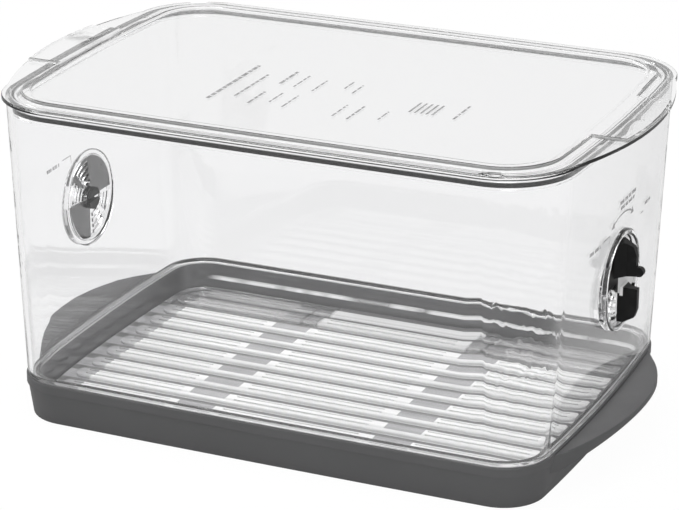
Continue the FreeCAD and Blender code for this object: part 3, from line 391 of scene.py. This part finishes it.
def polished(node, material, crease=26.0):
    """The node's own shape with its loose triangles joined and its curved faces shaded smooth.

    Points that share a place to a micrometre become one, and an edge stays sharp only where its faces turn by
    more than the crease angle."""
    source = NODES[node].data
    places = np.empty(len(source.vertices) * 3)
    source.vertices.foreach_get("co", places)
    corners = np.empty(len(source.loops), dtype=np.int64)
    source.loops.foreach_get("vertex_index", corners)
    grid = np.round(places.reshape(-1, 3) * MICROMETRES).astype(np.int64)
    unique, index = np.unique(grid, axis=0, return_inverse=True)
    faces = index.reshape(-1)[corners].reshape(-1, 3)
    whole = (faces[:, 0] != faces[:, 1]) & (faces[:, 1] != faces[:, 2]) & (faces[:, 2] != faces[:, 0])
    piece = put_mesh(f"{node}_polished", unique / MICROMETRES, faces[whole], material, BODY_OF[node])
    mesh = piece.data
    mesh.polygons.foreach_set("use_smooth", np.ones(len(mesh.polygons), dtype=bool))
    mesh.set_sharp_from_angle(angle=math.radians(crease))
    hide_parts(node)


def end_wall(along, height):
    """Distance of the box's end wall from the middle, at places along Y and heights.

    The outline grows evenly from the foot of the wall to its rim, by the share (z - z0) / (z1 - z0). Its end is an
    arc round a centre on the X axis, so x = L - R + sqrt(R^2 - y^2), with R = r + c / sin(swing), where c is the
    corner centre's distance from the X axis."""
    share = (height - WALL_FOOT[3]) / (WALL_RIM[3] - WALL_FOOT[3])
    length, width, corner = (low + (high - low) * share for low, high in zip(WALL_FOOT[:3], WALL_RIM[:3]))
    p, q = math.tan(END_SWING / 2), math.tan(SIDE_SWING / 2)
    centre = ((width - corner) - q * (length - corner)) / (1 - p * q)
    radius = corner + centre / math.sin(END_SWING)
    return length - radius + np.sqrt(radius ** 2 - along ** 2)


def dashes(start, end, seed):
    """Word-like pieces of a line: lengths that follow a sine of their number, evenly spaced."""
    pieces, place, count = [], start, 0
    while place < end - 1.0:
        length = DASH_MEAN + DASH_SWING * math.sin(DASH_STEP * count + seed)
        pieces.append((place, min(place + length, end)))
        place, count = place + length + DASH_SPACE, count + 1
    return pieces


def word_bars(lines):
    """Bars for lines of dashes, each bar by its two ends and its low and high edge."""
    return [(*piece, foot, top) for low, high, foot, top, seed in lines for piece in dashes(low, high, seed)]


def print_marks(name, corners, material, body):
    """Flat four-cornered marks, each given by its corners in millimetres, seen from outside anticlockwise."""
    points = corners.reshape(-1, 3) * MM
    faces = np.arange(len(points)).reshape(-1, 4)
    put_mesh(name, points, faces, material, body)


def bar_corners(bars):
    """Corners of all bars at once, anticlockwise, from each bar's two ends and its low and high edge."""
    return np.array(bars)[:, [[0, 2], [1, 2], [1, 3], [0, 3]]]


def pane_marks():
    """Plain marks on the pane: lines of dashes that run along Y, spread along X, and a block of five bars."""
    bars = [(x - width / 2, x + width / 2, *piece)
            for x, low, high, width in PANE_LINES for piece in dashes(low, high, x)]
    bars += [(start, start + PANE_BAR_WIDTH, *PANE_BAR_ENDS) for start in PANE_BARS]
    flat = bar_corners(bars).reshape(-1, 2)
    return np.column_stack((flat, np.full(len(flat), PANE_TOP + PANE_MARK_LIFT)))


def arrow_corners():
    """Turning arrow over the vent: a strip in steps between two radii, and a pointed tip at each end.

    A corner at radius r and turn t from straight up lies at y = r sin(t), z = vent + r cos(t)."""
    near, far = ARROW_LINE
    inner, middle, outer = ARROW_TIP
    first, second = ARROW_TURNS[:-1], ARROW_TURNS[1:]
    tail, head = ARROW_TURNS[0], ARROW_TURNS[-1]
    radii = np.vstack((np.tile([near, near, far, far], (len(first), 1)),
                       [[middle, outer, middle, inner], [inner, middle, outer, middle]]))
    turns = np.vstack((np.column_stack((first, second, second, first)),
                       [[tail, tail, tail - ARROW_REACH, tail], [head, head + ARROW_REACH, head, head]]))
    return np.stack((radii * np.sin(turns), VENT_HEIGHT + radii * np.cos(turns)), axis=-1)


def vent_marks(side):
    """Plain marks beside a vent: word-like bars and a corner bracket at both ends, and more bars and a turning
    arrow at the right end. They lie on the end wall, at x = side * (wall + a hair)."""
    bars = word_bars(BOTH_ENDS_WORDS) + list(BRACKET)
    if side > 0:
        bars += word_bars(RIGHT_END_WORDS) + [RIGHT_END_LEADER]
    corners = bar_corners(bars)[:, ::side]
    if side > 0:
        corners = np.concatenate((corners, arrow_corners()))
    along, height = corners.reshape(-1, 2).T
    return np.column_stack((side * (end_wall(along, height) + WALL_MARK_LIFT), along, height))


# Set

def area_lamp(name, place, width, height, power):
    data = bpy.data.lights.new(name, "AREA")
    data.shape = "RECTANGLE"
    data.size, data.size_y, data.energy = width, height, power
    lamp = bpy.data.objects.new(name, data)
    lamp.location = place
    lamp.rotation_euler = (Vector(LAMP_TARGET) - Vector(place)).to_track_quat("-Z", "Y").to_euler()
    bpy.context.scene.collection.objects.link(lamp)


def white_floor():
    """Pale floor: white to the eye and through the clear pieces, darkened a little where the keeper shades it,
    and dimmer where a surface mirrors it."""
    look = Finish("floor_white")
    lit = look.node("ShaderNodeBsdfDiffuse", {}, {"Color": grey(0.9)})
    camera, glossy, through = look.rays()
    seen = (camera + glossy + through).ramp(0.0, 1.0, 0.0, FLOOR_PLAIN)
    strength = 1.0 - glossy * (1.0 - through) * FLOOR_MIRROR_LOSS
    plain = look.node("ShaderNodeEmission", {}, {"Color": grey(1.0), "Strength": strength})
    material = look.finish(look.node("ShaderNodeMixShader", {}, {0: seen, 1: lit, 2: plain}))
    mesh = bpy.data.meshes.new("floor")
    side = FLOOR_HALF
    mesh.from_pydata([(-side, -side, 0), (side, -side, 0), (side, side, 0), (-side, side, 0)], [], [(0, 1, 2, 3)])
    mesh.materials.append(material)
    floor = bpy.data.objects.new("floor", mesh)
    floor.location.z = -FLOOR_DROP
    bpy.context.scene.collection.objects.link(floor)


def studio_world():
    """White surroundings low down, falling to grey overhead, so that clear edges show against them. They are
    dimmer where a surface mirrors them, and a plain soft light where they only light the keeper."""
    world = bpy.data.worlds.new("studio")
    bpy.context.scene.world = world
    world.use_nodes = True
    room = Shader(world.node_tree)
    way = room.node("ShaderNodeTexCoord", {}, {}, "Generated")
    height = room.node("ShaderNodeSeparateXYZ", {}, {0: way}, "Z") * 0.5 + 0.5
    shade = room.node("ShaderNodeValToRGB", {"stops": ROOM_STOPS}, {0: height})
    camera, glossy, through = room.rays()
    strength = 1.0 - glossy * (1.0 - through) * ROOM_MIRROR_LOSS
    back = room.node("ShaderNodeBackground", {}, {"Color": shade, "Strength": strength})
    fill = room.node("ShaderNodeBackground", {}, {"Color": grey(1.0), "Strength": ROOM_FILL})
    seen = (camera + glossy + through).ramp(0.0, 1.0)
    mixed = room.node("ShaderNodeMixShader", {}, {0: seen, 1: fill, 2: back})
    room.node("ShaderNodeOutputWorld", {}, {"Surface": mixed})


def camera():
    """The photograph's view, from the front right and above."""
    back = Vector((math.sin(TURN) * math.cos(LIFT), -math.cos(TURN) * math.cos(LIFT), math.sin(LIFT)))
    data = bpy.data.cameras.new("camera")
    data.sensor_width = SENSOR
    data.lens = SENSOR * FOCAL / PICTURE_WIDTH
    data.shift_x, data.shift_y = (part / PICTURE_WIDTH for part in OFFSET)
    view = bpy.data.objects.new("camera", data)
    view.location = Vector((0, 0, TARGET_HEIGHT)) + back * DISTANCE
    view.rotation_euler = (-back).to_track_quat("-Z", "Y").to_euler()
    bpy.context.scene.collection.objects.link(view)
    bpy.context.scene.camera = view


clear_box = clear_plastic("clear_box", grey(0.95, 1.004), nest_painted_glints)
clear_lid = clear_plastic("clear_lid", grey(0.995, 1.001), bead_painted_sheen, bead_softness)
clear_rack = clear_plastic("clear_rack", grey(0.96, 1.002), rack_painted_light)
tray_grey = satin_grey("tray_grey")
dial_black = satin_black("dial_black")
seal_grey = soft_seal("seal_grey")
print_grey = ink("print_grey")

polished("bin", clear_box)
polished("lid", clear_lid)
polished("rack", clear_rack)
polished("base_tray", tray_grey)
polished("lid_gasket", seal_grey)
polished("vent_dial_left", dial_black)
polished("vent_dial_right", dial_black)

print_marks("pane_marks", pane_marks(), print_grey, BODY_OF["lid"])
print_marks("vent_marks", np.vstack((vent_marks(1), vent_marks(-1))), print_grey, BODY_OF["bin"])

white_floor()
studio_world()
camera()
for lamp in LAMPS:
    area_lamp(*lamp)

scene = bpy.context.scene
scene.view_settings.view_transform = "Standard"
scene.cycles.max_bounces = 64
scene.cycles.transmission_bounces = 64
scene.cycles.glossy_bounces = 8
scene.cycles.diffuse_bounces = 4
scene.cycles.transparent_max_bounces = 24
